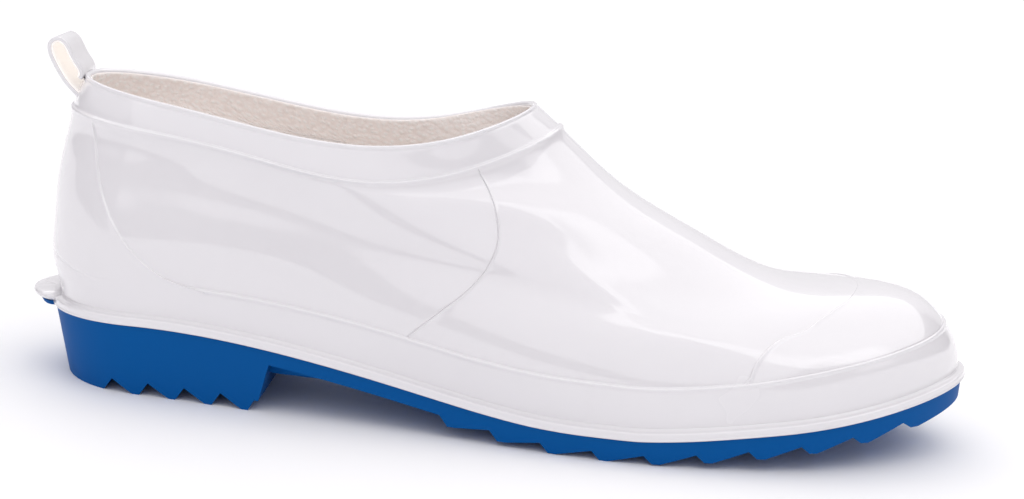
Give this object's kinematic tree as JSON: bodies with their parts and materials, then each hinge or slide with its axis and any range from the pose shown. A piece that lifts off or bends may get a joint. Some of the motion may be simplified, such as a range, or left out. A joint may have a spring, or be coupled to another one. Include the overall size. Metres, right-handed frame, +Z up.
{
  "type": "safety shoe",
  "caption": "Right slip-on work shoe of moulded white plastic with a ribbed blue outsole, heel, welt with a kick-off spur, padded insole and a pull loop at the collar",
  "frame": {"origin": "on the floor under the middle of the shoe's box", "axes": "+X from heel to toe, +Y from the outer side of the foot to the inner side, +Z up"},
  "size_m": [0.3086, 0.1038, 0.1095],
  "materials": {
    "shell": "glossy",
    "sole": "satin",
    "lining": "knitted nap"
  },
  "bodies": {
    "root": {"outsole": "sole", "welt": "shell", "upper": "shell", "insole": "lining", "pull_loop": "shell"}
  },
  "joints": []
}
